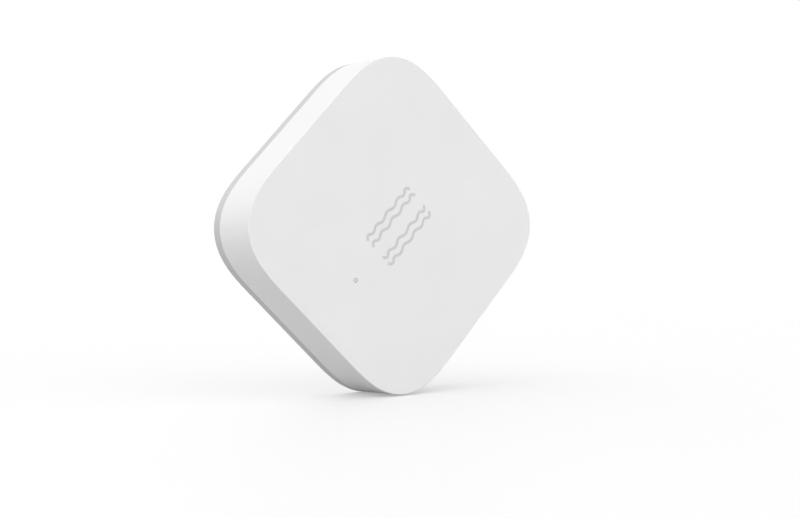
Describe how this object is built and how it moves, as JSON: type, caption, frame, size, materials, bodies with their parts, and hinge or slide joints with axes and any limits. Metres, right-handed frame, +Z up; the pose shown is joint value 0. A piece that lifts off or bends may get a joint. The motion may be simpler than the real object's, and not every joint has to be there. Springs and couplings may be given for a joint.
{
  "type": "vibration sensor tag",
  "caption": "Small rounded-square battery sensor tag with a press button in its side, a coin-slot battery door and an adhesive back.",
  "frame": {"origin": "centre of the adhesive face that fastens the tag", "axes": "+Y out of the adhesive face into what the tag is stuck to, so the front face looks along -Y; +Z up, along a diagonal of the square, because the tag stands on one corner; +X along the other diagonal"},
  "size_m": [0.044, 0.0093, 0.044],
  "materials": {
    "white_shell": "fine satin moulding",
    "grey_plate": "fine satin moulding",
    "foam_tape": "foam with a smooth adhesive face",
    "clear_pin": "clear moulding",
    "board": "green solder mask",
    "black_package": "moulded epoxy",
    "black_switch": "moulded nylon",
    "white_plunger": "moulded nylon",
    "steel_sheet": "bright stamped sheet",
    "cell_steel": "bright deep-drawn steel",
    "spring_metal": "nickel-plated phosphor bronze",
    "seal_plastic": "moulded polypropylene",
    "cathode_pellet": "pressed powder",
    "separator_felt": "felt",
    "lithium_disc": "dull metal",
    "crystal_can": "plated lid on a ceramic tray",
    "white_ceramic": "fired ceramic",
    "tan_ceramic": "fired ceramic with tinned ends",
    "black_film": "black film on ceramic with tinned ends",
    "clear_led": "clear epoxy"
  },
  "bodies": {
    "case": {"front_housing": "white_shell", "back_plate": "grey_plate", "adhesive_pad": "foam_tape", "light_pipe": "clear_pin", "switch_base": "black_switch", "switch_cover": "steel_sheet", "circuit_board": "board", "negative_contact": "spring_metal", "positive_contact": "spring_metal", "cell_can": "cell_steel", "cell_cap": "cell_steel", "cell_gasket": "seal_plastic", "cell_cathode": "cathode_pellet", "cell_separator": "separator_felt", "cell_anode": "lithium_disc", "radio_chip": "black_package", "motion_sensor": "black_package", "crystal": "crystal_can", "chip_antenna": "white_ceramic", "reservoir_capacitor": "tan_ceramic", "status_led": "clear_led", "chip_capacitors": "tan_ceramic", "chip_resistors": "black_film"},
    "button": {"pairing_button": "white_shell"},
    "plunger": {"switch_plunger": "white_plunger"},
    "door": {"battery_door": "grey_plate"}
  },
  "joints": [
    {"name": "button_press", "type": "slide", "parent": "case", "child": "button", "axis": [-0.7071, 0, -0.7071], "range_m": [0, 0.0003], "stiffness_N_per_m": 400},
    {"name": "plunger_press", "type": "slide", "parent": "case", "child": "plunger", "axis": [-0.7071, 0, -0.7071], "range_m": [0, 0.0003]},
    {"name": "door_turn", "type": "hinge", "parent": "case", "child": "door", "pos_m": [0, 0, 0], "axis": [0, 1, 0], "range_deg": [0, 30]}
  ],
  "couplings": [
    {"joint": "plunger_press", "follows": "button_press", "ratio": 1}
  ]
}
